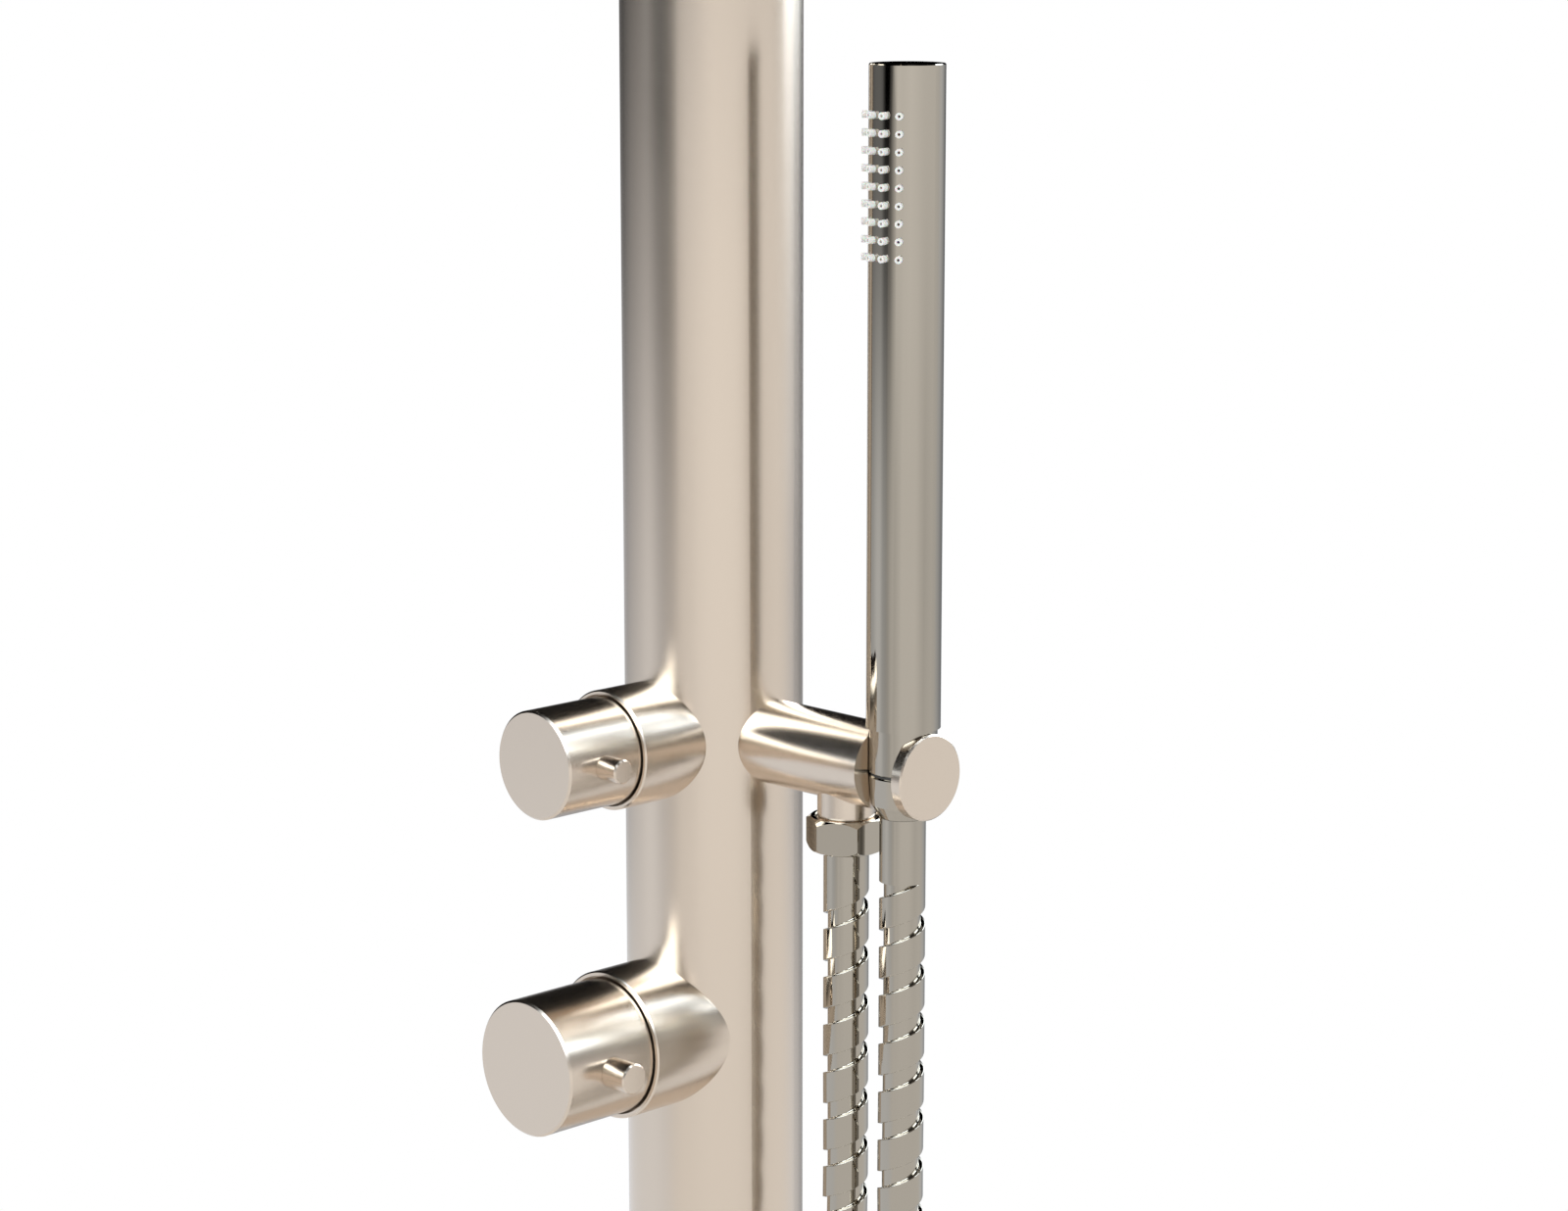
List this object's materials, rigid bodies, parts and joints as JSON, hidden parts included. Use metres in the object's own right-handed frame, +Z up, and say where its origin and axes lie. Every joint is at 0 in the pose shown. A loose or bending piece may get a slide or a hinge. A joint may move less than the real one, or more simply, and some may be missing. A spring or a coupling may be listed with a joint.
{
  "type": "outdoor shower post",
  "caption": "Free-standing round shower post with two front knobs, a side arm that cradles a stick hand shower on a strip-wound hose, and an overhead rain head.",
  "frame": {"origin": "centre of the base plate on the ground, on the post's axis", "axes": "+Z up along the post, -Y to the front where the knobs and the rain head point, +X to the side of the hand shower"},
  "size_m": [0.22, 0.56, 2.2],
  "materials": {
    "satin_nickel": "warm satin nickel with a fine grain",
    "polished_nickel": "polished warm nickel",
    "cast_brass": "machined brass",
    "copper_pipe": "drawn copper",
    "plain_steel": "turned stainless steel",
    "moulded_plastic": "moulded",
    "black_rubber": "matt",
    "white_silicone": "translucent matt"
  },
  "bodies": {
    "post": {"base_plate": "satin_nickel", "post_tube": "satin_nickel", "top_cap": "satin_nickel", "mixer_collar": "satin_nickel", "diverter_collar": "satin_nickel", "hot_inlet": "cast_brass", "cold_inlet": "cast_brass", "hot_pipe": "copper_pipe", "cold_pipe": "copper_pipe", "link_pipe": "copper_pipe", "riser_pipe": "copper_pipe", "mixer_body": "cast_brass", "mixer_cartridge": "moulded_plastic", "mixer_seals": "black_rubber", "mixer_bonnet": "cast_brass", "diverter_body": "cast_brass", "diverter_cartridge": "moulded_plastic", "diverter_seals": "black_rubber", "diverter_bonnet": "cast_brass", "holder_arm": "satin_nickel", "arm_washer": "black_rubber", "hose_outlet": "satin_nickel", "check_valve": "moulded_plastic", "hose_nut": "polished_nickel", "hose_washer": "black_rubber", "hose_collar": "plain_steel", "shower_hose": "polished_nickel", "riser_elbow": "cast_brass", "head_arm": "satin_nickel", "swivel_nut": "satin_nickel", "ball_seal": "black_rubber"},
    "mixer_handle": {"mixer_spindle": "plain_steel", "mixer_knob": "satin_nickel", "mixer_pin": "satin_nickel", "mixer_screw": "plain_steel"},
    "diverter_handle": {"diverter_spindle": "plain_steel", "diverter_knob": "satin_nickel", "diverter_pin": "satin_nickel", "diverter_screw": "plain_steel"},
    "hose_end": {"hose_sleeve": "polished_nickel"},
    "handset": {"cone_nut": "polished_nickel", "cone_washer": "black_rubber", "neck_ring": "black_rubber", "shower_neck": "polished_nickel", "shower_tube": "polished_nickel", "shower_liner": "moulded_plastic", "shower_nozzles": "white_silicone", "shower_cap": "polished_nickel"},
    "rain_head": {"swivel_ball": "plain_steel", "head_shell": "satin_nickel", "head_nozzles": "white_silicone", "head_plate": "satin_nickel"}
  },
  "joints": [
    {"name": "mixer_turn", "type": "hinge", "parent": "post", "child": "mixer_handle", "pos_m": [0, -0.0656, 0.999], "axis": [0, -1, 0], "range_deg": [0, 115]},
    {"name": "diverter_turn", "type": "hinge", "parent": "post", "child": "diverter_handle", "pos_m": [0, -0.0629, 1.1], "axis": [0, -1, 0], "range_deg": [0, 90]},
    {"name": "handset_lift", "type": "slide", "parent": "post", "child": "hose_end", "axis": [0, 0, 1], "range_m": [0, 0.06], "deforming": ["shower_hose"]},
    {"name": "handset_turn", "type": "hinge", "parent": "hose_end", "child": "handset", "pos_m": [0.0885, 0, 1.09], "axis": [0, 0, 1], "continuous": true},
    {"name": "head_tilt", "type": "hinge", "parent": "post", "child": "rain_head", "pos_m": [0, -0.35, 2.0655], "axis": [1, 0, 0], "range_deg": [-15, 15]}
  ]
}
